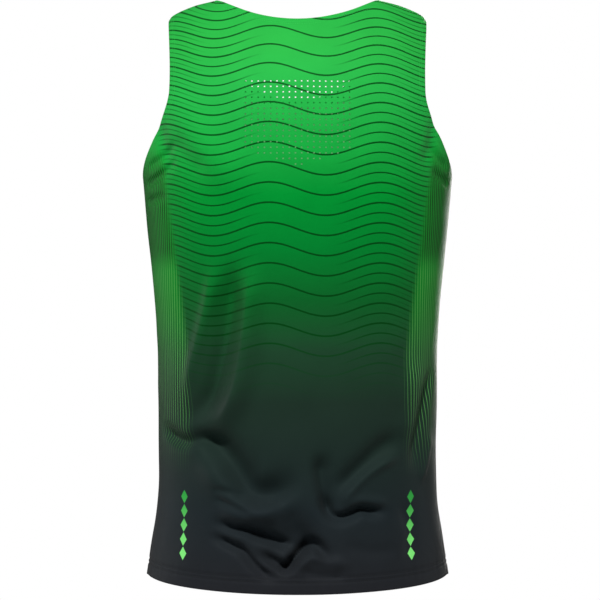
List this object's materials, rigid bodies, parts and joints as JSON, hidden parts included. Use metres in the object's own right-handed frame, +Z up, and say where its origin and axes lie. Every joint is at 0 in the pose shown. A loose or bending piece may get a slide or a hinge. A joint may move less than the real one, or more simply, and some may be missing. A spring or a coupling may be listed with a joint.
{
  "type": "sleeveless running shirt",
  "caption": "Men's sleeveless running shirt, filled out as worn, with a scoop neck, wide straps, turned edges and waist folds.",
  "frame": {"origin": "midway between the high points of the two shoulder seams, where the wearer's shoulders carry the shirt", "axes": "+Z up, -Y out of the back (the pictured side), +Y out of the front, +X to the wearer's right"},
  "size_m": [0.368, 0.2436, 0.6923],
  "materials": {
    "back_cloth": "satin polyester knit, printed green at the shoulders to charcoal at the hem",
    "front_cloth": "satin polyester knit, printed green at the shoulders to charcoal at the hem"
  },
  "bodies": {
    "root": {"back_panel": "back_cloth", "front_panel": "front_cloth"}
  },
  "joints": []
}
